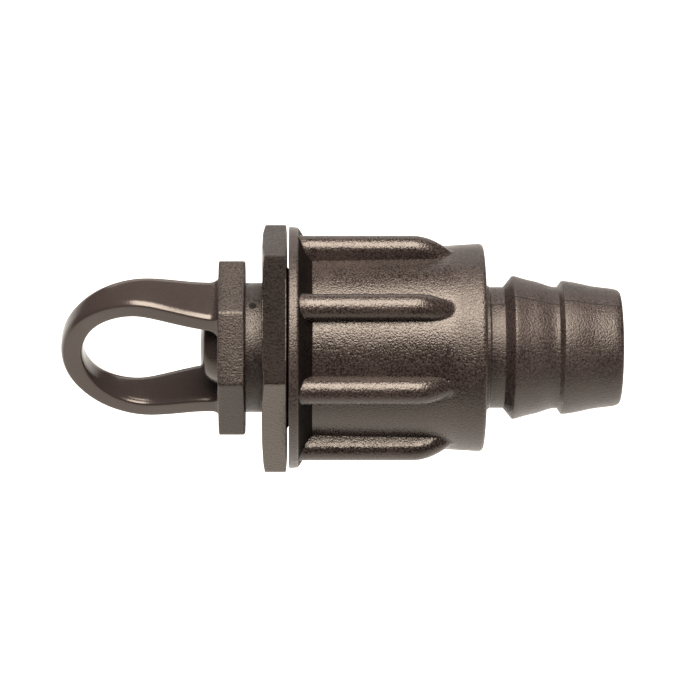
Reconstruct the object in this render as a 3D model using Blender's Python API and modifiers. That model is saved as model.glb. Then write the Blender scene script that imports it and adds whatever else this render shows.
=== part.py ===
"""Lock-nut end plug with a hanging ring, for 16 mm drip pipe.

The fitting lies along X. The pipe is pushed over the barbed spigot, whose tip
is at the origin with the pipe beyond it at +X. The ribbed lock nut is parked
against the hex flange and screws towards +X, over the pipe end. The ring plug
screws into the hex end from -X and closes the bore. The ring's plane is XZ.

Stations along the fitting are given in millimetres from the hex flange's
nut-side face (u = 0), positive towards the spigot's tip.
"""
import bpy
import bmesh
import math
from mathutils import Matrix

MM = 0.001
SEG = 32                      # sides of the turned shapes

# ---- overall stations -------------------------------------------------------
U_TIP = 39.1                  # spigot tip
CLEAR = 0.3                   # clearance between separate mouldings

# ---- spigot body ------------------------------------------------------------
HEX_T = 2.87                  # flange thickness
HEX_CORNER_R = 15.0           # 26 mm across flats
HUB_R = 8.8                   # root of the external thread
HUB_END = 16.2
SPIGOT_R = 7.1                # barb root, 14.2 mm
BARB1 = dict(start=25.4, crest=26.4, land=26.8, end=31.6, r=8.4, r_end=7.14)
BARB2 = dict(start=31.6, crest=32.1, land=32.7, end=39.1, r=7.82, r_end=6.8)
TIP_R = 6.3
BORE_R = 5.4
NUT_PITCH = 3.0               # lead of the external thread
THREAD_R = 9.9                # its crest
THREAD_START = 3.1            # first tooth centre
THREAD_TURNS = 4

# ---- lock nut ---------------------------------------------------------------
NUT_START = 0.3
NUT_END = 23.0
NUT_FLANGE_R = 14.2
NUT_BODY_R = 11.65            # behind the flange, drafted out to
NUT_END_R = 12.2              # at the mouth
NUT_BORE_R = 10.2             # thread root and relief bore
NUT_CREST_R = 9.1             # thread crest, passes over the barbs
NUT_MOUTH_R = 9.3
RIB_COUNT = 8
RIB_CREST_R = 14.0
RIB_HALF_W = 1.55

# ---- clamp ring -------------------------------------------------------------
CLAMP_START = 16.8
CLAMP_END = 22.0
CLAMP_R0 = 9.85               # outer radius at the wide end
CLAMP_R1 = 9.0
CLAMP_BORE_R = 8.55
CLAMP_ROOT_R = 8.8
CLAMP_TEETH = 4
CLAMP_SLOT = 1.6

# ---- ring plug --------------------------------------------------------------
OCT_START = -7.95
OCT_END = -4.9
OCT_CORNER_R = 10.95          # 20.2 mm across flats
NECK_R = 7.6
NECK_END = -2.07              # inside the body's counterbore
STUB_R = 5.3                  # root of the male thread
PLUG_PITCH = 2.0
PLUG_THREAD_R = 6.4
PLUG_THREAD_START = 0.2
PLUG_THREAD_TURNS = 2
NOSE_START = 6.4
NOSE_R = 5.15
NOSE_END = 11.2
GROOVE = (8.0, 10.0)
GROOVE_R = 3.8

# ---- hanging ring -----------------------------------------------------------
RING_TIP = -26.5              # outermost point
RING_WIDEST = -16.6           # station of the greatest width
RING_HALF_W = 9.5             # outer half width there
RING_HALF_W_BASE = 7.7        # outer half width at the collar
RING_T = 2.24                 # strap thickness, in the ring's plane
RING_T_TIP = 2.4
STRAP_HALF_TIP = 1.5          # half the strap's width through the ring, at the tip
STRAP_HALF_ROOT = 3.15        # and at the collar
BOSS = [(-7.5, 4.35), (-8.5, 4.12), (-9.2, 3.8), (-9.55, 3.5), (-9.85, 3.0), (-10.1, 2.25)]

# ---- O-ring -----------------------------------------------------------------
O_SECTION_R = 0.7
O_CENTRE_R = 4.6
O_CENTRE_U = 9.0


for ob in list(bpy.data.objects):
    bpy.data.objects.remove(ob, do_unlink=True)

parts = bpy.data.collections.new("lock_nut_end_plug")
cutters = bpy.data.collections.new("cutters")
bpy.context.scene.collection.children.link(parts)
bpy.context.scene.collection.children.link(cutters)


def material(name, colour, roughness):
    mat = bpy.data.materials.new(name)
    mat.use_nodes = True
    bsdf = mat.node_tree.nodes["Principled BSDF"]
    bsdf.inputs["Base Color"].default_value = (*colour, 1.0)
    bsdf.inputs["Roughness"].default_value = roughness
    bsdf.inputs["Metallic"].default_value = 0.0
    return mat


def place(ob):
    """Lay a shape made along local Z on the X axis, its zero at station u = 0."""
    ob.rotation_euler = (0.0, math.radians(90), 0.0)
    ob.location = (-U_TIP * MM, 0.0, 0.0)
    return ob


def add(name, mesh, collection):
    ob = bpy.data.objects.new(name, mesh)
    collection.objects.link(ob)
    if collection is cutters:
        ob.hide_render = True
        ob.display_type = "WIRE"
    return place(ob)


def turned(name, outline, collection, closed=True, steps=SEG, offset=0.0, turns=1):
    """Revolve (station, radius) points with a Screw modifier."""
    mesh = bpy.data.meshes.new(name)
    n = len(outline)
    edges = [(i, i + 1) for i in range(n - 1)] + ([(n - 1, 0)] if closed else [])
    mesh.from_pydata([(r * MM, 0.0, u * MM) for u, r in outline], edges, [])
    ob = add(name, mesh, collection)
    screw = ob.modifiers.new("turn", "SCREW")
    screw.axis = "Z"
    screw.angle = 2 * math.pi
    screw.steps = screw.render_steps = steps
    screw.screw_offset = offset * MM
    screw.iterations = turns
    screw.use_merge_vertices = offset == 0.0
    screw.merge_threshold = 1e-6
    return ob


def boolean(ob, other, operation):
    mod = ob.modifiers.new(operation.lower() + "_" + other.name, "BOOLEAN")
    mod.operation = operation
    mod.solver = "EXACT"
    mod.object = other
    return mod


def bake(ob):
    """Replace an object's mesh by its evaluated mesh, in local space."""
    bpy.context.view_layer.update()
    deps = bpy.context.evaluated_depsgraph_get()
    mesh = bpy.data.meshes.new_from_object(ob.evaluated_get(deps))
    ob.modifiers.clear()
    ob.data = mesh
    return ob


def prism(name, sides, corner_r, u0, u1, bevel, collection, corner_up):
    """A regular prism around the axis, with a corner or a flat facing +Z."""
    bm = bmesh.new()
    bmesh.ops.create_cone(bm, cap_ends=True, segments=sides, radius1=corner_r * MM,
                          radius2=corner_r * MM, depth=(u1 - u0) * MM)
    # local +X ends up facing -Z, so a corner on local X is a corner facing up
    first = max(bm.verts, key=lambda v: v.co.x)
    turn = -math.atan2(first.co.y, first.co.x)
    if not corner_up:
        turn += math.pi / sides
    bmesh.ops.rotate(bm, verts=bm.verts, cent=(0, 0, 0), matrix=Matrix.Rotation(turn, 3, "Z"))
    bmesh.ops.translate(bm, verts=bm.verts, vec=(0, 0, (u0 + u1) / 2 * MM))
    mesh = bpy.data.meshes.new(name)
    bm.to_mesh(mesh)
    bm.free()
    ob = add(name, mesh, collection)
    mod = ob.modifiers.new("edges", "BEVEL")
    mod.width = bevel * MM
    mod.segments = 2
    mod.limit_method = "ANGLE"
    return ob


def thread(name, root_r, crest_r, root_w, crest_w, start, pitch, turns):
    """A helical ridge: a trapezoid swept up a right-hand helix, with flat ends."""
    outline = [(start + root_w / 2, root_r), (start + crest_w / 2, crest_r),
               (start - crest_w / 2, crest_r), (start - root_w / 2, root_r)]
    ob = bake(turned(name, outline, cutters, offset=pitch, turns=turns))
    bm = bmesh.new()
    bm.from_mesh(ob.data)
    bmesh.ops.remove_doubles(bm, verts=bm.verts, dist=1e-7)
    bmesh.ops.holes_fill(bm, edges=bm.edges, sides=4)
    bmesh.ops.recalc_face_normals(bm, faces=bm.faces)
    bm.to_mesh(ob.data)
    bm.free()
    return ob


def loft(name, rings, collection, closed_path):
    """A skin over equal rings of points, in millimetres (local axes)."""
    bm = bmesh.new()
    loops = [[bm.verts.new([c * MM for c in p]) for p in ring] for ring in rings]
    n = len(loops[0])
    pairs = list(zip(loops, loops[1:])) + ([(loops[-1], loops[0])] if closed_path else [])
    for a, b in pairs:
        for i in range(n):
            j = (i + 1) % n
            bm.faces.new((a[i], a[j], b[j], b[i]))
    if not closed_path:
        bm.faces.new(loops[0])
        bm.faces.new(list(reversed(loops[-1])))
    bmesh.ops.remove_doubles(bm, verts=bm.verts, dist=1e-7)
    bmesh.ops.recalc_face_normals(bm, faces=bm.faces)
    mesh = bpy.data.meshes.new(name)
    bm.to_mesh(mesh)
    bm.free()
    return add(name, mesh, collection)


def finish(ob, mat):
    """Bake the modelling steps, smooth the round surfaces and set the material."""
    bake(ob)
    ob.data.shade_smooth()
    ob.data.set_sharp_from_angle(angle=math.radians(32))
    ob.data.materials.clear()
    ob.data.materials.append(mat)
    return ob


# ---- spigot body ------------------------------------------------------------
def barb(b):
    """Tip-to-root points of one barb: taper, land and steep shoulder."""
    mid_u = (b["land"] + b["end"]) / 2
    mid_r = b["r_end"] + (b["r"] - b["r_end"]) * 0.42
    return [(b["end"] - 0.15, b["r_end"]), (mid_u, mid_r), (b["land"], b["r"]),
            (b["crest"], b["r"]), (b["start"], SPIGOT_R)]


outer = [(U_TIP, 0.0), (U_TIP, TIP_R), (U_TIP - 0.25, TIP_R + 0.35)]
outer += [(BARB2["end"] - 1.2, BARB2["r_end"] + 0.1)] + barb(BARB2)[1:]
outer += barb(BARB1)[1:]
outer += [(HUB_END, SPIGOT_R), (HUB_END, HUB_R - 0.4), (HUB_END - 0.4, HUB_R),
          (0.6, HUB_R), (-0.3, HUB_R + 0.9), (-HEX_T / 2, HUB_R + 0.9), (-HEX_T / 2, 0.0)]
spigot_body = turned("spigot_body", outer, parts, closed=False)
hex_flange = prism("hex_blank", 6, HEX_CORNER_R, -HEX_T, 0.0, 0.22, cutters, corner_up=True)
boolean(spigot_body, hex_flange, "UNION")
boolean(spigot_body, thread("outer_thread", HUB_R - 0.25, THREAD_R, 1.75, 1.0,
                            THREAD_START, NUT_PITCH, THREAD_TURNS), "UNION")
bore = turned("bore_blank", [(U_TIP + 1.0, 0.0), (U_TIP + 1.0, BORE_R), (7.4, BORE_R),
                             (6.6, PLUG_THREAD_R + CLEAR), (-1.77, PLUG_THREAD_R + CLEAR),
                             (-1.77, NECK_R + CLEAR), (-HEX_T - 1.0, NECK_R + CLEAR),
                             (-HEX_T - 1.0, 0.0)], cutters, closed=False)
boolean(spigot_body, bore, "DIFFERENCE")
boolean(spigot_body, thread("inner_thread", PLUG_THREAD_R + CLEAR + 0.25, STUB_R + CLEAR, 0.95, 0.45,
                            PLUG_THREAD_START + PLUG_PITCH / 2, PLUG_PITCH, PLUG_THREAD_TURNS), "UNION")
finish(spigot_body, material("body_moulding", (0.085, 0.067, 0.060), 0.55))

# ---- lock nut ---------------------------------------------------------------
def quarter(u, r, radius, a0, a1, n):
    """Points of an arc about (u, r), angles in degrees from +u towards +r."""
    return [(u + radius * math.cos(math.radians(a0 + (a1 - a0) * i / n)),
             r + radius * math.sin(math.radians(a0 + (a1 - a0) * i / n))) for i in range(n + 1)]


nut = [(NUT_END, NUT_MOUTH_R + 0.4)] + quarter(NUT_END - 0.6, NUT_END_R - 0.6, 0.6, 0, 90, 3)
nut += [(2.85, NUT_BODY_R), (2.3, 12.3), (1.86, 12.85), (1.4, 13.6), (0.95, NUT_FLANGE_R - 0.06)]
nut += [(NUT_START + 0.15, NUT_FLANGE_R), (NUT_START, NUT_FLANGE_R - 0.15)]
nut += [(NUT_START, NUT_BORE_R + 0.4), (NUT_START + 0.4, NUT_BORE_R), (16.5, NUT_BORE_R),
        (22.2, NUT_MOUTH_R), (NUT_END - 0.4, NUT_MOUTH_R)]
lock_nut = turned("lock_nut", nut, parts)


def rib_rings():
    """Sections of one rib along the nut: half-round on straight sides, sinking away at its far end."""
    rings = []
    base = NUT_BODY_R - 0.4
    for u in (1.05, 1.3, 2.0, 8.0, 14.5, 15.6, 16.7, 17.6, 18.3, 18.9, 19.4):
        crest = RIB_CREST_R - 0.1207 * max(0.0, u - 14.5) ** 1.82
        if u < 1.3:
            crest = 13.7
        centre = crest - RIB_HALF_W
        ring = []
        for i in range(9):
            a = math.pi * i / 8
            ring.append((max(base, centre) + (crest - max(base, centre)) * math.sin(a), -RIB_HALF_W * math.cos(a), u))
        if centre < base:
            half = RIB_HALF_W * math.sqrt(max(0.0, 1 - ((base - centre) / RIB_HALF_W) ** 2))
            ring = []
            for i in range(9):
                y = -half * math.cos(math.pi * i / 8)
                ring.append((centre + math.sqrt(max(0.0, RIB_HALF_W ** 2 - y * y)), y, u))
        ring = [(base - 0.3, ring[0][1], u)] + ring + [(base - 0.3, ring[-1][1], u)]
        rings.append(ring)
    return rings


rib = loft("rib_blank", rib_rings(), cutters, closed_path=False)
for k in range(RIB_COUNT):
    copy = rib if k == 0 else add("rib_blank_%d" % k, rib.data, cutters)
    angle = math.radians(22.5 + 45 * k)
    copy.rotation_mode = "XYZ"
    copy.matrix_world = (Matrix.Translation((-U_TIP * MM, 0, 0)) @ Matrix.Rotation(math.radians(90), 4, "Y")
                         @ Matrix.Rotation(angle, 4, "Z"))
    boolean(lock_nut, copy, "UNION")
boolean(lock_nut, thread("nut_thread", NUT_BORE_R + 0.25, NUT_CREST_R, 1.55, 0.8,
                         THREAD_START - NUT_PITCH / 2, NUT_PITCH, 2), "UNION")
finish(lock_nut, material("nut_moulding", (0.10, 0.080, 0.070), 0.5))

# ---- clamp ring -------------------------------------------------------------
inside = [(CLAMP_START, CLAMP_ROOT_R)]
step = (CLAMP_END - CLAMP_START) / CLAMP_TEETH
for k in range(CLAMP_TEETH):
    inside.append((CLAMP_START + (k + 0.75) * step, CLAMP_BORE_R))
    inside.append((CLAMP_START + (k + 1) * step, CLAMP_BORE_R if k == CLAMP_TEETH - 1 else CLAMP_ROOT_R))
outline = [(CLAMP_END, CLAMP_R1), (CLAMP_START, CLAMP_R0)] + inside[:-1] + [(CLAMP_END, CLAMP_BORE_R)]
clamp_ring = turned("clamp_ring", outline, parts)
bm = bmesh.new()
bmesh.ops.create_cube(bm, size=1.0)
bmesh.ops.scale(bm, verts=bm.verts, vec=(6 * MM, CLAMP_SLOT * MM, 12 * MM))
bmesh.ops.translate(bm, verts=bm.verts, vec=(9 * MM, 0.13 * MM, 19 * MM))
mesh = bpy.data.meshes.new("slot_blank")
bm.to_mesh(mesh)
bm.free()
boolean(clamp_ring, add("slot_blank", mesh, cutters), "DIFFERENCE")
finish(clamp_ring, material("clamp_acetal", (0.62, 0.60, 0.55), 0.4))

# ---- ring plug --------------------------------------------------------------
plug = [(NOSE_END, 0.0), (NOSE_END, NOSE_R - 0.5), (NOSE_END - 0.5, NOSE_R), (GROOVE[1], NOSE_R),
        (GROOVE[1], GROOVE_R), (GROOVE[0], GROOVE_R), (GROOVE[0], NOSE_R), (NOSE_START, NOSE_R),
        (NOSE_START - 0.3, STUB_R), (NECK_END, STUB_R), (NECK_END, NECK_R - 0.2),
        (NECK_END - 0.2, NECK_R), (OCT_END + 0.3, NECK_R), (OCT_END - 0.2, NECK_R + 0.4),
        (OCT_END - 1.2, NECK_R + 0.4), (OCT_END - 1.2, 0.0)]
ring_plug = turned("ring_plug", plug, parts, closed=False)
octagon = prism("octagon_blank", 8, OCT_CORNER_R, OCT_START, OCT_END, 0.22, cutters, corner_up=False)
boolean(ring_plug, octagon, "UNION")


def half_width(u):
    """Outer half width of the ring at a station between its widest point and the collar."""
    s = min(1.0, (u - RING_WIDEST) / (OCT_START + 0.16 - RING_WIDEST))
    return RING_HALF_W_BASE + (RING_HALF_W - RING_HALF_W_BASE) * (0.5 + 0.5 * math.cos(math.pi * s))


def strap_half(u):
    """Half the strap's width at a station: narrow at the tip, wide at the collar."""
    s = min(1.0, max(0.0, (u - RING_TIP) / (OCT_START - RING_TIP)))
    return STRAP_HALF_TIP + (STRAP_HALF_ROOT - STRAP_HALF_TIP) * s ** 1.3


def ring_outline(n_arc=13, n_leg=7):
    """Outer outline of the strap from one root to the other, as (u, z)."""
    root = OCT_START + 0.8
    leg = [(root + (RING_WIDEST - root) * i / n_leg, 0.0) for i in range(n_leg)]
    leg = [(u, half_width(u)) for u, _ in leg]
    arc = []
    for i in range(2 * n_arc + 1):
        a = math.pi / 2 + math.pi * i / (2 * n_arc)
        arc.append((RING_WIDEST + (RING_WIDEST - RING_TIP) * math.cos(a), RING_HALF_W * math.sin(a)))
    return leg + arc + [(u, -z) for u, z in reversed(leg)]


def strap_section(t, half):
    """Rounded rectangle: thickness t inwards from the outline, half width through the ring."""
    r = 0.5
    pts = []
    for cx, cy, a0 in ((-r, half - r, 0), (-t + r, half - r, 90),
                       (-t + r, -half + r, 180), (-r, -half + r, 270)):
        for k in range(3):
            a = math.radians(a0 + 45 * k)
            pts.append((cx + r * math.cos(a), cy + r * math.sin(a)))
    return pts


path = ring_outline()
rings = []
for i, (u, z) in enumerate(path):
    a, b = path[max(i - 1, 0)], path[min(i + 1, len(path) - 1)]
    du, dz = b[0] - a[0], b[1] - a[1]
    length = math.hypot(du, dz)
    nu, nz = dz / length, -du / length
    nearness = max(0.0, (RING_WIDEST - u) / (RING_WIDEST - RING_TIP))
    t = RING_T + (RING_T_TIP - RING_T) * nearness ** 2
    # local axes: x = -z (world), y = y, z = u
    rings.append([(-(z + nz * s), w, u + nu * s) for s, w in strap_section(t, strap_half(u))])
boolean(ring_plug, loft("strap_blank", rings, cutters, closed_path=False), "UNION")
boss = turned("boss_blank", [(BOSS[0][0], 0.0)] + BOSS + [(BOSS[-1][0], 0.0)], cutters, closed=False, steps=SEG)
boolean(ring_plug, boss, "UNION")
boolean(ring_plug, thread("plug_thread", STUB_R - 0.25, PLUG_THREAD_R, 0.95, 0.45,
                          PLUG_THREAD_START, PLUG_PITCH, PLUG_THREAD_TURNS), "UNION")
finish(ring_plug, material("plug_moulding", (0.075, 0.058, 0.052), 0.42))

# ---- O-ring -----------------------------------------------------------------
section = [(O_CENTRE_U + O_SECTION_R * math.cos(-2 * math.pi * k / 10 + math.pi / 2 + math.pi),
            O_CENTRE_R + O_SECTION_R * math.sin(-2 * math.pi * k / 10 + math.pi / 2 + math.pi))
           for k in range(10)]
plug_o_ring = turned("plug_o_ring", list(reversed(section)), parts)
finish(plug_o_ring, material("seal_rubber", (0.012, 0.012, 0.012), 0.65))

for ob in list(cutters.objects):
    ob.hide_viewport = False
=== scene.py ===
import bpy
import math
import numpy as np
from mathutils import Matrix, Vector


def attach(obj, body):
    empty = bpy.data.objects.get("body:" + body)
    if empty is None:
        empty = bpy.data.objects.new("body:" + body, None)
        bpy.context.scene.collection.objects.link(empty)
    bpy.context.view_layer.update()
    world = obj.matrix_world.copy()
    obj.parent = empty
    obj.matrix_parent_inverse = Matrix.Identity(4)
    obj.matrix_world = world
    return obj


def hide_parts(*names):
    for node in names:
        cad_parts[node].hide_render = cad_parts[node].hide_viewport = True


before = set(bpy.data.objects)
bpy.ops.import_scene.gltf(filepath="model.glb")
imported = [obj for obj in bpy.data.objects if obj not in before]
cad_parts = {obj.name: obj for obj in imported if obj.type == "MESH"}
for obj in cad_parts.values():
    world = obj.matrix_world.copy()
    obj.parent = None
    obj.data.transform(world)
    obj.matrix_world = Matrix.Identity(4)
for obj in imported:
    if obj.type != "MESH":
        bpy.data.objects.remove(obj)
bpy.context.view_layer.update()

MM = 0.001
U_TIP = 39.1                      # spigot tip; stations u run along +X from the hex's nut side
TAU = 2 * math.pi


# ---------------------------------------------------------------- mesh tools
def new_object(name, verts, faces):
    mesh = bpy.data.meshes.new(name)
    mesh.from_pydata(verts, [], faces)
    mesh.update()
    co = np.zeros(len(mesh.vertices) * 3)
    mesh.vertices.foreach_get("co", co)
    co = co.reshape(-1, 3)
    mesh.calc_loop_triangles()
    tri = np.zeros(len(mesh.loop_triangles) * 3, dtype=np.int64)
    mesh.loop_triangles.foreach_get("vertices", tri)
    a, b, c = (co[tri.reshape(-1, 3)[:, i]] for i in range(3))
    if np.einsum("ij,ij->i", a, np.cross(b, c)).sum() < 0:
        mesh.flip_normals()
    ob = bpy.data.objects.new(name, mesh)
    bpy.context.scene.collection.objects.link(ob)
    return ob


def smooth(ob, angle=34):
    ob.data.shade_smooth()
    ob.data.set_sharp_from_angle(angle=math.radians(angle))
    return ob


def rounded(points, steps=4):
    """(u, r, fillet, poly) corners to a fine outline: rounded corners, straight runs between."""
    n = len(points)
    out = []
    for i, p in enumerate(points):
        u, r, f, w = p
        if f <= 0 or i in (0, n - 1):
            out.append((u, r, w))
            continue
        a, b = points[i - 1], points[i + 1]
        la = math.hypot(a[0] - u, a[1] - r)
        lb = math.hypot(b[0] - u, b[1] - r)
        d = min(f, 0.48 * la, 0.48 * lb)
        pa = (u + (a[0] - u) * d / la, r + (a[1] - r) * d / la, w + (a[3] - w) * d / la)
        pb = (u + (b[0] - u) * d / lb, r + (b[1] - r) * d / lb, w + (b[3] - w) * d / lb)
        for k in range(steps + 1):
            s = k / steps
            q = [(1 - s) ** 2 * pa[j] + 2 * s * (1 - s) * (u, r, w)[j] + s * s * pb[j] for j in range(3)]
            out.append(tuple(q))
    return out


def refine(outline, step, lo=-1e9, hi=1e9):
    """Split runs whose middle lies in lo..hi so that no run there is longer than step."""
    out = [outline[0]]
    for a, b in zip(outline, outline[1:]):
        mid = (a[0] + b[0]) / 2
        length = math.hypot(b[0] - a[0], b[1] - a[1])
        n = max(1, math.ceil(length / step)) if lo <= mid <= hi else 1
        for k in range(1, n + 1):
            out.append(tuple(a[j] + (b[j] - a[j]) * k / n for j in range(3)))
    return out


def columns(base, clusters):
    """Angles around the axis: even ones plus fine offsets about the given places (degrees)."""
    t = [360.0 * i / base for i in range(base)]
    for centre, offsets in clusters:
        lo, hi = centre + min(offsets), centre + max(offsets)
        t = [x for x in t if not any(lo - 0.3 < x + s < hi + 0.3 for s in (-360, 0, 360))]
        t += [(centre + o) % 360 for o in offsets]
    return np.radians(np.array(sorted(set(round(x, 5) for x in t))))


def polygon(t, sides, first_corner, p=120.0):
    """Radius of a regular polygon over its apothem, with slightly rounded corners."""
    half = math.pi / sides
    total = np.zeros_like(t)
    for k in range(sides):
        c = np.cos(t - (math.radians(first_corner) + half + k * 2 * half))
        total += np.clip(c, 0.0, None) ** p
    return total ** (-1.0 / p)


def smax(a, b, k):
    h = np.clip(0.5 + 0.5 * (a - b) / k, 0, 1)
    return b + (a - b) * h + k * h * (1 - h)


def ridge(u, t, start, pitch, turns, root_w, crest_w):
    """0..1 height of a right-hand helical ridge at station u and angle t."""
    phase = (t + math.pi / 2) % TAU / TAU
    k = np.round((u - start) / pitch - phase)
    s = phase + k
    s = np.where(s < 0, s + 1, s)
    s = np.where(s > turns, s - 1, s)
    d = np.abs(u - (start + pitch * s))
    h = np.clip((root_w / 2 - d) / ((root_w - crest_w) / 2), 0, 1)
    h = h * h * (3 - 2 * h)
    ends = np.clip(np.minimum(s, turns - s) / 0.06, 0, 1)
    return h * ends * (s >= 0) * (s <= turns)


def skin(name, U, R, T, loop=True):
    """Closed skin over rows of stations and radii; loop joins the last row to the first."""
    m, n = U.shape
    X = (U - U_TIP) * MM
    Y = R * np.cos(T)[None, :] * MM
    Z = R * np.sin(T)[None, :] * MM
    verts = np.stack([X, Y, Z], axis=2)
    faces = []
    if loop:
        coords = verts.reshape(-1, 3).tolist()
        idx = np.arange(m * n).reshape(m, n)
        nxt = np.roll(idx, -1, axis=0)
        quads = np.stack([idx, np.roll(idx, -1, axis=1), np.roll(nxt, -1, axis=1), nxt], axis=2)
        faces = quads.reshape(-1, 4).tolist()
    else:
        inner = verts[1:-1]
        coords = inner.reshape(-1, 3).tolist() + [verts[0, 0].tolist(), verts[-1, 0].tolist()]
        k = m - 2
        idx = np.arange(k * n).reshape(k, n)
        quads = np.stack([idx[:-1], np.roll(idx, -1, axis=1)[:-1], np.roll(idx, -1, axis=1)[1:], idx[1:]], axis=2)
        faces = quads.reshape(-1, 4).tolist()
        p0, p1 = k * n, k * n + 1
        for i in range(n):
            j = (i + 1) % n
            faces.append([p0, int(idx[0, j]), int(idx[0, i])])
            faces.append([p1, int(idx[-1, i]), int(idx[-1, j])])
    return new_object(name, coords, faces)


def grid(outline, T, shape=None):
    """Outline rows against columns: U and R arrays, polygon rows shaped."""
    u = np.array([p[0] for p in outline])
    r = np.array([p[1] for p in outline])
    w = np.array([p[2] for p in outline])
    U = np.repeat(u[:, None], len(T), axis=1)
    R = np.repeat(r[:, None], len(T), axis=1)
    if shape is not None:
        R = R * (1 + w[:, None] * (shape[None, :] - 1))
    return U, R, np.repeat(w[:, None], len(T), axis=1)


# ---------------------------------------------------------------- spigot body
CORNER = [-3.4, -2.4, -1.7, -1.2, -0.85, -0.55, -0.3, 0, 0.3, 0.55, 0.85, 1.2, 1.7, 2.4, 3.4]


def spigot_body():
    T = columns(180, [(30 + 60 * k, CORNER) for k in range(6)])
    pts = [(39.1, 5.4, 0, 0), (39.1, 6.64, 0.6, 0), (38.35, 6.92, 0.5, 0), (37.0, 7.07, 0.5, 0), (36.28, 7.16, 0.4, 0),
           (35.58, 7.27, 0.4, 0), (34.87, 7.43, 0.4, 0), (34.17, 7.59, 0.4, 0), (33.46, 7.72, 0.4, 0),
           (32.75, 7.82, 0.3, 0), (32.2, 7.86, 0.13, 0), (31.68, 7.13, 0.12, 0), (31.2, 7.15, 0.4, 0),
           (30.64, 7.28, 0.4, 0), (29.94, 7.54, 0.4, 0), (29.23, 7.76, 0.4, 0), (28.5, 7.92, 0.4, 0),
           (27.8, 8.09, 0.4, 0), (26.85, 8.38, 0.3, 0), (26.42, 8.46, 0.2, 0), (25.36, 7.12, 0.1, 0),
           (23.75, 7.12, 0.06, 0), (23.6, 7.3, 0.08, 0), (16.2, 7.3, 0.15, 0), (16.2, 8.45, 0.1, 0),
           (15.8, 8.8, 0.1, 0), (0.5, 8.8, 0.3, 0), (0.0, 9.5, 0.2, 0), (0.0, 13.03, 0.15, 1),
           (-2.87, 13.03, 0.15, 1), (-2.87, 7.95, 0.12, 0), (-1.77, 7.9, 0.1, 0), (-1.77, 6.7, 0.1, 0),
           (6.6, 6.7, 0.1, 0), (7.4, 5.4, 0.1, 0), (38.9, 5.4, 0.1, 0)]
    line = rounded(pts)
    line = refine(line, 0.13, 2.0, 16.0)
    line = refine(line, 0.45, 16.0, 40.0)
    U, R, W = grid(line, T, polygon(T, 6, 90.0))
    outer = (R > 8.7) & (U > 1.5) & (U < 16.1)
    R = np.where(outer, R + 1.1 * ridge(U, T[None, :], 3.1, 3.0, 4, 1.75, 1.0), R)
    inner = (R > 6.6) & (R < 6.8) & (U < 6.7)
    R = np.where(inner, R - 1.1 * ridge(U, T[None, :], 1.2, 2.0, 2, 0.95, 0.45), R)
    # the hex's corners are cut back by a slight cone on both faces
    mid = -1.435
    slope = np.where(U > mid, 0.05, 0.16)
    U = U - np.sign(U - mid) * (W > 0) * np.clip(R - 13.2, 0, None) * slope * np.clip(np.abs(U - mid) / 1.435, 0, 1)
    return smooth(skin("spigot_body_detail", U, R, T))


# ---------------------------------------------------------------- lock nut
def lock_nut():
    half = math.degrees(1.57 / 12.6)
    offsets = [half * math.sin(math.radians(a)) for a in range(-90, 91, 9)]
    offsets += [-half - 0.35, half + 0.35, -half - 0.9, half + 0.9]
    T = columns(120, [(22.5 + 45 * k, sorted(offsets)) for k in range(8)])
    pts = [(22.85, 9.6, 0, 0), (23.0, 9.85, 0.1, 0), (23.0, 12.24, 0.62, 0), (17.5, 11.92, 1.0, 0), (2.92, 11.64, 0.1, 0),
           (2.5, 12.15, 0.25, 0), (2.1, 12.75, 0.25, 0), (1.7, 13.5, 0.25, 0), (1.28, 14.12, 0.2, 0),
           (0.22, 14.2, 0.16, 0), (0.22, 10.7, 0.1, 0), (0.7, 10.2, 0.1, 0), (16.5, 10.2, 0.2, 0),
           (22.2, 9.3, 0.1, 0), (22.6, 9.3, 0.1, 0)]
    line = rounded(pts)
    fine = refine(line, 0.13, 0.0, 4.6)
    fine = refine(fine, 0.12, 14.5, 20.2)
    fine = refine(fine, 0.3, 4.6, 23.0)
    U, R, _ = grid(fine, T)
    out = (R > 11.5)
    w = 1.55
    rib_r = np.full_like(R, 0.0)
    for k in range(8):
        d = (T - math.radians(22.5 + 45 * k) + math.pi) % TAU - math.pi
        y = 12.6 * d[None, :]
        ww = w * (1 - 0.42 * np.clip((U - 16.2) / 3.0, 0, 1) ** 2)
        inside = np.abs(y) < ww
        arc = np.sqrt(np.clip(ww * ww - y * y, 0, None))
        crest = 14.0 - 0.1207 * np.clip(U - 14.7, 0, None) ** 1.86
        profile = crest - ww + arc
        rib_r = np.where(inside, np.maximum(rib_r, profile), rib_r)
    zone = out & (U < 19.6) & (U > 0.6)
    k = np.where(U < 3.2, 0.3, 0.1)
    R = np.where(zone, smax(R, rib_r, k), R)
    bore = (R > 10.1) & (R < 10.3) & (U < 16.4)
    R = np.where(bore, R - 1.1 * ridge(U, T[None, :], 1.6, 3.0, 2, 1.55, 0.8), R)
    return smooth(skin("lock_nut_detail", U, R, T), 38)


# ---------------------------------------------------------------- ring plug
def half_width(u):
    """Outer half width of the ring from its widest point to the collar."""
    table_u = [-17.5, -15.65, -13.7, -12.26, -10.83, -8.95, -7.0]
    table_z = [9.51, 9.37, 8.92, 8.57, 8.21, 7.91, 7.82]
    return float(np.interp(u, table_u, table_z))


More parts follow.
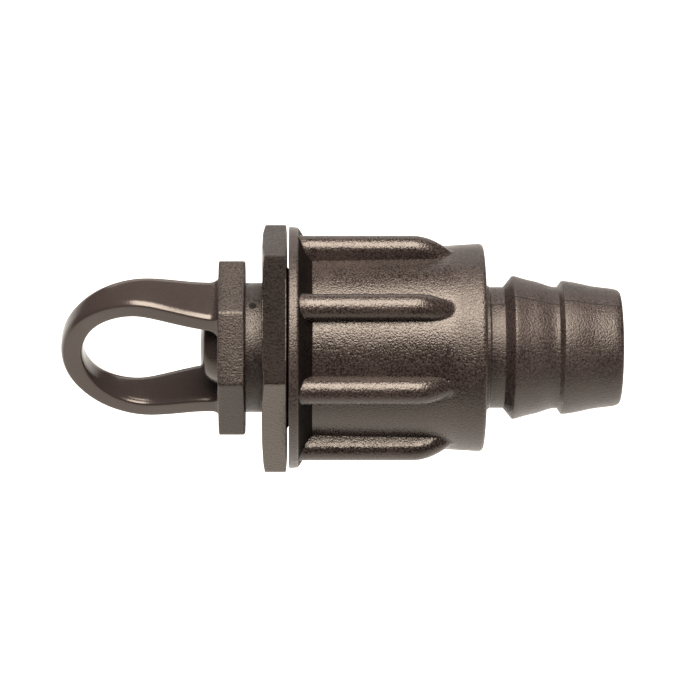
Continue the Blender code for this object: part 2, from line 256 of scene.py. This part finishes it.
def ring_plug():
    T = columns(160, [(22.5 + 45 * k, CORNER) for k in range(8)])
    pts = [(11.2, 0, 0, 0), (11.2, 4.6, 0.2, 0), (10.7, 5.15, 0.2, 0), (10.0, 5.15, 0.08, 0), (10.0, 3.8, 0.1, 0),
           (8.0, 3.8, 0.1, 0), (8.0, 5.15, 0.08, 0), (6.4, 5.15, 0.1, 0), (6.1, 5.3, 0.1, 0),
           (-2.07, 5.3, 0.1, 0), (-2.07, 7.6, 0.15, 0), (-4.9, 7.6, 0.22, 0), (-4.9, 10.12, 0.15, 1),
           (-7.95, 10.12, 0.15, 1), (-7.95, 4.3, 0.22, 0), (-8.55, 4.08, 0.3, 0), (-9.2, 3.78, 0.3, 0),
           (-9.62, 3.45, 0.2, 0), (-9.86, 2.95, 0.2, 0), (-10.12, 2.15, 0.2, 0), (-10.15, 0, 0, 0)]
    line = rounded(pts)
    line = refine(line, 0.12, -0.5, 5.5)
    U, R, W = grid(line, T, polygon(T, 8, 22.5))
    stub = (R > 5.2) & (R < 5.4) & (U > -1.5) & (U < 6.0)
    R = np.where(stub, R + 1.1 * ridge(U, T[None, :], 0.2, 2.0, 2, 0.95, 0.45), R)
    mid = -6.425
    U = U - np.sign(U - mid) * (W > 0) * np.clip(R - 10.45, 0, None) * 0.13 * np.clip(np.abs(U - mid) / 1.525, 0, 1)
    body = skin("ring_plug_detail", U, R, T, loop=False)

    # strap: an outline in the XZ plane with a crowned section swept along it
    outline = []
    n_leg, n_arc = 34, 44
    for i in range(n_leg):
        u = -7.2 + (-17.2 + 7.2) * i / n_leg
        outline.append((u, half_width(u)))
    for i in range(2 * n_arc + 1):
        a = math.pi / 2 + math.pi * i / (2 * n_arc)
        outline.append((-16.9 + 9.62 * math.cos(a), 9.52 * math.sin(a)))
    outline += [(u, -z) for u, z in reversed(outline[:n_leg])]
    pts2 = np.array(outline)
    # even out the joins between the leg and the arc
    for _ in range(30):
        pts2[1:-1] = pts2[1:-1] * 0.5 + (pts2[:-2] + pts2[2:]) * 0.25
    tangent = np.gradient(pts2, axis=0)
    tangent /= np.linalg.norm(tangent, axis=1)[:, None]
    rings = []
    for (u, z), (du, dz) in zip(pts2, tangent):
        nu, nz = -dz, du                      # outward normal in the plane
        if nu * (u + 16.0) + nz * z < 0:
            nu, nz = -nu, -nz
        s = min(1.0, max(0.0, (u + 26.5) / 18.5))
        half = float(np.interp(u, [-26.5, -24.4, -22, -17.5, -15.65, -13.7, -12.26, -10.83, -8.95, -7.9],
                               [1.5, 1.6, 1.85, 2.26, 2.45, 2.66, 2.8, 2.93, 3.12, 3.2]))
        thick = 2.25 + 0.2 * max(0.0, (-16.9 - u) / 9.6) ** 2
        flare = max(0.0, (u + 8.95) / 1.0)
        grow = 0.75 * (1 - math.sqrt(max(0.0, 1 - min(flare, 1.0) ** 2)))
        out_off, in_off = grow, -thick - grow * 0.8
        hh = half + grow * 0.45
        a, b = 0.9, 0.36
        sec = []
        for sy, so, a0 in ((1, 1, 0), (1, -1, 90), (-1, -1, 180), (-1, 1, 270)):
            edge = out_off if so > 0 else in_off
            for q in range(9):
                ang = math.radians(90.0 * q / 8)
                ca, sa = math.sin(ang), math.cos(ang)
                if (sy, so) in ((1, -1), (-1, 1)):
                    ca, sa = sa, ca
                yy = sy * (hh - a + a * ca)
                oo = edge - so * (b - b * sa)
                sec.append((yy, oo))
            if (sy, so) == (1, 1):
                sec += [(hh, out_off - b + (in_off - out_off + 2 * b) * f) for f in (0.25, 0.5, 0.75)]
            elif (sy, so) == (1, -1):
                sec += [(f * (hh - a), in_off) for f in (0.5, 0.0, -0.5)]
            elif (sy, so) == (-1, -1):
                sec += [(-hh, in_off + b + (out_off - in_off - 2 * b) * f) for f in (0.25, 0.5, 0.75)]
            else:
                sec += [(f * (hh - a), out_off) for f in (-0.5, 0.0, 0.5)]
        crown = 0.1
        ring = []
        for yy, oo in sec:
            c = crown * (1 - (yy / hh) ** 2)
            oo2 = oo + c if oo > (out_off + in_off) / 2 else oo - c
            ring.append((((u + nu * oo2) - U_TIP) * MM, yy * MM, (z + nz * oo2) * MM))
        rings.append(ring)
    n = len(rings[0])
    verts = [v for ring in rings for v in ring]
    faces = []
    for i in range(len(rings) - 1):
        for j in range(n):
            k = (j + 1) % n
            faces.append([i * n + j, i * n + k, (i + 1) * n + k, (i + 1) * n + j])
    faces.append(list(reversed(range(n))))
    faces.append(list(range((len(rings) - 1) * n, len(rings) * n)))
    strap = new_object("strap_piece", verts, faces)
    mod = body.modifiers.new("join", "BOOLEAN")
    mod.operation = "UNION"
    mod.solver = "EXACT"
    mod.object = strap
    bpy.context.view_layer.update()
    deps = bpy.context.evaluated_depsgraph_get()
    mesh = bpy.data.meshes.new_from_object(body.evaluated_get(deps))
    body.modifiers.clear()
    body.data = mesh
    bpy.data.objects.remove(strap)
    return smooth(body, 36)


# ---------------------------------------------------------------- hidden pieces
def clamp_ring():
    half = math.degrees(0.8 / 9.2)
    T = np.radians(np.linspace(270 + half, 270 + 360 - half, 140))
    pts = [(22.0, 9.0), (21.85, 9.02)]
    pts += [(22.0 - 5.2 * i / 12, 9.0 + 0.85 * i / 12) for i in range(1, 12)]
    pts += [(16.95, 9.84), (16.8, 9.78), (16.8, 8.86)]
    for k in range(4):
        u0 = 16.8 + 1.3 * k
        pts += [(u0 + 0.05, 8.82), (u0 + 0.9, 8.56), (u0 + 1.0, 8.55), (u0 + 1.06, 8.57)]
        pts += [(u0 + 1.28, 8.78)] if k < 3 else []
    pts += [(21.95, 8.57), (22.0, 8.62)]
    m, n = len(pts), len(T)
    verts, faces = [], []
    for u, r in pts:
        for t in T:
            verts.append(((u - U_TIP) * MM, r * math.cos(t) * MM, r * math.sin(t) * MM))
    for j in range(m):
        k = (j + 1) % m
        for i in range(n - 1):
            faces.append([j * n + i, j * n + i + 1, k * n + i + 1, k * n + i])
    faces.append([j * n for j in range(m)])
    faces.append([j * n + n - 1 for j in reversed(range(m))])
    return smooth(new_object("clamp_ring_detail", verts, faces), 30)


def o_ring():
    T = np.radians(np.linspace(0, 360, 97)[:-1])
    a = np.radians(np.linspace(0, 360, 29)[:-1])
    U = np.repeat((9.0 + 0.7 * np.cos(a))[:, None], len(T), axis=1)
    R = np.repeat((4.6 + 0.7 * np.sin(a))[:, None], len(T), axis=1)
    return smooth(skin("plug_o_ring_detail", U, R, T))


# ---------------------------------------------------------------- materials
def node(tree, kind, **sets):
    n = tree.nodes.new(kind)
    for key, value in sets.items():
        setattr(n, key, value)
    return n


def plastic(name, colour, rough, grain, grain_mm=0.3, seam=False, streaks=0.0, speckle=0.0, tint=(1.0, 0.88, 0.78),
            smooth_zone=None, spec=0.5, spot=None):
    """Dark moulded plastic: spark-eroded grain, slight colour change, edges lighter as rubbing and as a painted
    highlight, parting line.
    """
    mat = bpy.data.materials.new(name)
    mat.use_nodes = True
    tree = mat.node_tree
    bsdf = tree.nodes["Principled BSDF"]
    bsdf.inputs["Metallic"].default_value = 0.0
    bsdf.inputs["IOR"].default_value = 1.5
    bsdf.inputs["Specular Tint"].default_value = (*tint, 1.0)
    bsdf.inputs["Specular IOR Level"].default_value = spec
    co = node(tree, "ShaderNodeTexCoord")
    obj = co.outputs["Object"]

    def noise(scale, detail=2.0, rough_=0.5, vector=obj):
        n = node(tree, "ShaderNodeTexNoise")
        n.inputs["Scale"].default_value = scale
        n.inputs["Detail"].default_value = detail
        n.inputs["Roughness"].default_value = rough_
        tree.links.new(vector, n.inputs["Vector"])
        return n.outputs["Fac"]

    def ramp(value, a, b, lo, hi):
        m = node(tree, "ShaderNodeMapRange")
        for key, v in (("From Min", a), ("From Max", b), ("To Min", lo), ("To Max", hi)):
            m.inputs[key].default_value = v
        tree.links.new(value, m.inputs["Value"])
        return m.outputs["Result"]

    def maths(op, x, y):
        m = node(tree, "ShaderNodeMath", operation=op)
        for s, v in zip(m.inputs, (x, y)):
            if isinstance(v, (int, float)):
                s.default_value = v
            else:
                tree.links.new(v, s)
        return m.outputs["Value"]

    fine = noise(1000.0 / grain_mm, 1.5, 0.5)
    pits = noise(1000.0 / grain_mm * 0.45, 1.0, 0.5)
    broad = noise(160.0, 3.0, 0.55)
    # colour: a slow drift, fine grain, and lighter edges, partly rubbed and partly a painted edge highlight
    mix = node(tree, "ShaderNodeMix", data_type="RGBA")
    mix.inputs["A"].default_value = (*[c * 0.45 for c in colour], 1.0)
    mix.inputs["B"].default_value = (*[c * 1.75 for c in colour], 1.0)
    tree.links.new(ramp(maths("ADD", maths("MULTIPLY", broad, 0.3), maths("MULTIPLY", fine, 0.7)), 0.38, 0.62, 0, 1),
                   mix.inputs["Factor"])
    geo = node(tree, "ShaderNodeNewGeometry")
    # convex edges lightened: partly rubbing, partly a painted edge highlight
    edge_rub_and_highlight = ramp(geo.outputs["Pointiness"], 0.53, 0.62, 0.0, 0.5)
    rubbed_and_highlit = node(tree, "ShaderNodeMix", data_type="RGBA")
    rubbed_and_highlit.inputs["B"].default_value = (*[min(1.0, c * 3.2) for c in colour], 1.0)
    tree.links.new(edge_rub_and_highlight, rubbed_and_highlit.inputs["Factor"])
    tree.links.new(mix.outputs["Result"], rubbed_and_highlit.inputs["A"])
    colour_out = rubbed_and_highlit.outputs["Result"]
    height = maths("ADD", maths("MULTIPLY", fine, 1.0), maths("MULTIPLY", pits, 0.12))
    if seam:
        xyz = node(tree, "ShaderNodeSeparateXYZ")
        tree.links.new(obj, xyz.inputs[0])
        away = maths("ABSOLUTE", xyz.outputs["Y"], 0.0)
        line = ramp(away, 0.00004, 0.00010, 1.0, 0.0)
        dark = node(tree, "ShaderNodeMix", data_type="RGBA")
        dark.inputs["B"].default_value = (*[c * 0.25 for c in colour], 1.0)
        tree.links.new(maths("MULTIPLY", line, 0.8), dark.inputs["Factor"])
        tree.links.new(colour_out, dark.inputs["A"])
        colour_out = dark.outputs["Result"]
        height = maths("SUBTRACT", height, maths("MULTIPLY", line, 1.2))
    if spot:
        # the sheared gate: a small rough spot whose near-black colour is painted shade standing for an unmodelled
        # recess
        dist = node(tree, "ShaderNodeVectorMath", operation="DISTANCE")
        dist.inputs[1].default_value = spot
        tree.links.new(obj, dist.inputs[0])
        gate_mark_shade = ramp(dist.outputs["Value"], 0.00040, 0.00055, 1.0, 0.0)
        gate_shade_mix = node(tree, "ShaderNodeMix", data_type="RGBA")
        gate_shade_mix.inputs["B"].default_value = (0.002, 0.002, 0.002, 1.0)
        tree.links.new(gate_mark_shade, gate_shade_mix.inputs["Factor"])
        tree.links.new(colour_out, gate_shade_mix.inputs["A"])
        colour_out = gate_shade_mix.outputs["Result"]
    tree.links.new(colour_out, bsdf.inputs["Base Color"])
    rr = ramp(maths("ADD", maths("MULTIPLY", fine, 0.7), maths("MULTIPLY", broad, 0.3)), 0.3, 0.7,
              rough - 0.06 - speckle, rough + 0.06 + speckle)
    if smooth_zone:
        # (start, end, drop): stations on X between which the tool was polished finer
        z0, z1, drop = smooth_zone
        calm = 0.25 if drop < 0.15 else 0.9
        split = node(tree, "ShaderNodeSeparateXYZ")
        tree.links.new(obj, split.inputs[0])
        side_a = ramp(split.outputs["X"], z0 - 0.0004, z0 + 0.0004, 0.0, 1.0)
        side_b = ramp(split.outputs["X"], z1 - 0.0008, z1 + 0.0008, 1.0, 0.0)
        zone = maths("MULTIPLY", side_a, side_b)
        if drop > 0.15:
            # the finer surface also varies less in colour and gloss
            even = maths("MULTIPLY", zone, 0.85)
            rr = maths("SUBTRACT", rr, maths("MULTIPLY", even, maths("SUBTRACT", rr, rough)))
            plain = mix.inputs["Factor"].links[0].from_socket
            plain = maths("SUBTRACT", plain, maths("MULTIPLY", even, maths("SUBTRACT", plain, 1.0)))
            tree.links.new(plain, mix.inputs["Factor"])
        rr = maths("SUBTRACT", rr, maths("MULTIPLY", zone, drop))
        height = maths("MULTIPLY", height, maths("SUBTRACT", 1.0, maths("MULTIPLY", zone, calm)))
    if spot:
        rr = maths("ADD", rr, maths("MULTIPLY", gate_mark_shade, 0.6))
    tree.links.new(rr, bsdf.inputs["Roughness"])
    if streaks > 0:
        mapping = node(tree, "ShaderNodeMapping")
        mapping.inputs["Scale"].default_value = (1.0, 0.06, 0.06)
        tree.links.new(obj, mapping.inputs["Vector"])
        lines = noise(2600.0, 2.0, 0.5, mapping.outputs["Vector"])
        height = maths("ADD", height, maths("MULTIPLY", lines, streaks))
    bump = node(tree, "ShaderNodeBump")
    bump.inputs["Strength"].default_value = 1.0
    bump.inputs["Distance"].default_value = grain * MM
    tree.links.new(height, bump.inputs["Height"])
    tree.links.new(bump.outputs["Normal"], bsdf.inputs["Normal"])
    return mat


def rubber(name):
    mat = plastic(name, (0.012, 0.012, 0.013), 0.62, 0.01, 0.4)
    return mat


body = spigot_body()
nut = lock_nut()
plug = ring_plug()
clamp = clamp_ring()
seal = o_ring()

looks = {
    body: plastic("body_moulding", (0.022, 0.0155, 0.0145), 0.43, 0.070, 0.21, seam=True, speckle=0.08),
    nut: plastic("nut_moulding", (0.022, 0.0155, 0.0140), 0.38, 0.070, 0.21, speckle=0.08,
                 smooth_zone=(-0.0370, -0.0197, 0.10)),
    plug: plastic("plug_moulding", (0.019, 0.0140, 0.0130), 0.40, 0.060, 0.21, speckle=0.08,
                  smooth_zone=(-0.070, -0.0473, 0.18), streaks=0.12, spot=(-0.04306, -0.0006, 0.00758)),
    clamp: plastic("clamp_acetal", (0.62, 0.59, 0.53), 0.42, 0.01, 0.4, tint=(1, 1, 1)),
    seal: rubber("seal_rubber"),
}
for ob, mat in looks.items():
    ob.data.materials.clear()
    ob.data.materials.append(mat)

# the hex's faces carry a coarser spark grain, and three copies of the body material darker or brighter face by face as
# light falls: painted highlight on the front and back faces, painted shade on the others, darkest on the upper-front
# and lower-back faces
body.data.materials.append(plastic("hex_dim_copy", (0.016, 0.0110, 0.0100), 0.50, 0.09, 0.26, speckle=0.12, spec=0.26))
body.data.materials.append(plastic("hex_painted_shade", (0.011, 0.0080, 0.0072), 0.50, 0.16, 0.27, speckle=0.15, spec=0.05))
body.data.materials.append(plastic("hex_painted_highlight", (0.026, 0.0190, 0.0155), 0.42, 0.10, 0.22, speckle=0.10, spec=0.9))
for face in body.data.polygons:
    c = face.center
    if -0.04185 < c.x < -0.03925 and math.hypot(c.y, c.z) > 0.01285 and abs(face.normal.x) < 0.5:
        n = face.normal
        if abs(n.y) > 0.94:
            # front and back faces: brighter, glossier copy, a painted highlight
            face.material_index = 3
        elif n.y * n.z < 0:
            # upper-front and lower-back faces: darkest copy, painted shade
            face.material_index = 2
        else:
            # upper-back and lower-front faces: dimmer copy, painted shade
            face.material_index = 1

# the steep shoulder behind the nut's rim gets a darker, duller copy of the nut material: painted shade for the shadow
# that shoulder lies in
nut.data.materials.append(plastic("nut_painted_shade", (0.006, 0.0045, 0.0040), 0.55, 0.04, 0.24, speckle=0.03, spec=0.05))
for face in nut.data.polygons:
    if -0.03775 < face.center.x < -0.03595 and face.normal.x > 0.42 and \
            math.hypot(face.center.y, face.center.z) < 0.01405:
        face.material_index = 1

for ob, cad, slot in ((body, "spigot_body", "body_moulding"), (nut, "lock_nut", "nut_moulding"),
                      (plug, "ring_plug", "plug_moulding"), (clamp, "clamp_ring", "clamp_acetal"),
                      (seal, "plug_o_ring", "seal_rubber")):
    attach(ob, cad)
    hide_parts(cad)

# ---------------------------------------------------------------- stage and light
ELEV = math.radians(46)
floor_mesh = bpy.data.meshes.new("floor")
s = 1.6
z = -0.115
floor_mesh.from_pydata([(-s, -s, z), (s, -s, z), (s, s, z), (-s, s, z)], [], [(0, 1, 2, 3)])
floor = bpy.data.objects.new("floor", floor_mesh)
bpy.context.scene.collection.objects.link(floor)
pale = bpy.data.materials.new("pale_floor")
pale.use_nodes = True
b = pale.node_tree.nodes["Principled BSDF"]
b.inputs["Base Color"].default_value = (0.9, 0.9, 0.9, 1)
b.inputs["Roughness"].default_value = 0.9
b.inputs["Specular IOR Level"].default_value = 0.0
floor_mesh.materials.append(pale)


def softbox(name, elevation, distance, size_x, size_y, radiance, colour=(1, 1, 1), azimuth_x=0.0):
    """elevation: 0 is the camera's side (-Y), 90 straight up, 180 behind (+Y)."""
    a = math.radians(elevation)
    centre = Vector((-0.0326, 0, 0))
    way = Vector((math.sin(math.radians(azimuth_x)), -math.cos(a), math.sin(a))).normalized()
    data = bpy.data.lights.new(name, "AREA")
    data.shape = "RECTANGLE"
    data.size = size_x
    data.size_y = size_y
    data.energy = radiance * math.pi * size_x * size_y
    data.color = colour
    ob = bpy.data.objects.new(name, data)
    bpy.context.scene.collection.objects.link(ob)
    ob.location = centre + way * distance
    ob.rotation_euler = (-way).to_track_quat("-Z", "Y").to_euler()
    return ob


softbox("overhead", 86.5, 0.60, 0.38, 0.57, 19.0, (1.0, 0.945, 0.87))
softbox("rear_low", 163, 0.9, 1.0, 0.30, 2.4, (1.0, 0.98, 0.96))

world = bpy.data.worlds.new("world")
world.use_nodes = True
world.node_tree.nodes["Background"].inputs["Color"].default_value = (0.9, 0.9, 1.0, 1)
world.node_tree.nodes["Background"].inputs["Strength"].default_value = 0.02
bpy.context.scene.world = world

# ---------------------------------------------------------------- camera
cam_data = bpy.data.cameras.new("camera")
cam_data.lens = 175
cam_data.sensor_width = 36
cam_data.clip_start = 0.01
cam = bpy.data.objects.new("camera", cam_data)
bpy.context.scene.collection.objects.link(cam)
back = Vector((0, -math.cos(ELEV), math.sin(ELEV)))
up = Vector((0, math.sin(ELEV), math.cos(ELEV)))
cam.location = Vector((-0.0376, 0, 0)) + back * 0.400 - up * 0.00030
aim = Vector((-0.0317, 0, 0)) - up * 0.00030
look = (cam.location - aim).normalized()
side = up.cross(look).normalized()
cam.rotation_euler = Matrix((side, look.cross(side), look)).transposed().to_euler()
bpy.context.scene.camera = cam
bpy.context.scene.view_settings.view_transform = "Standard"
bpy.context.scene.view_settings.look = "None"
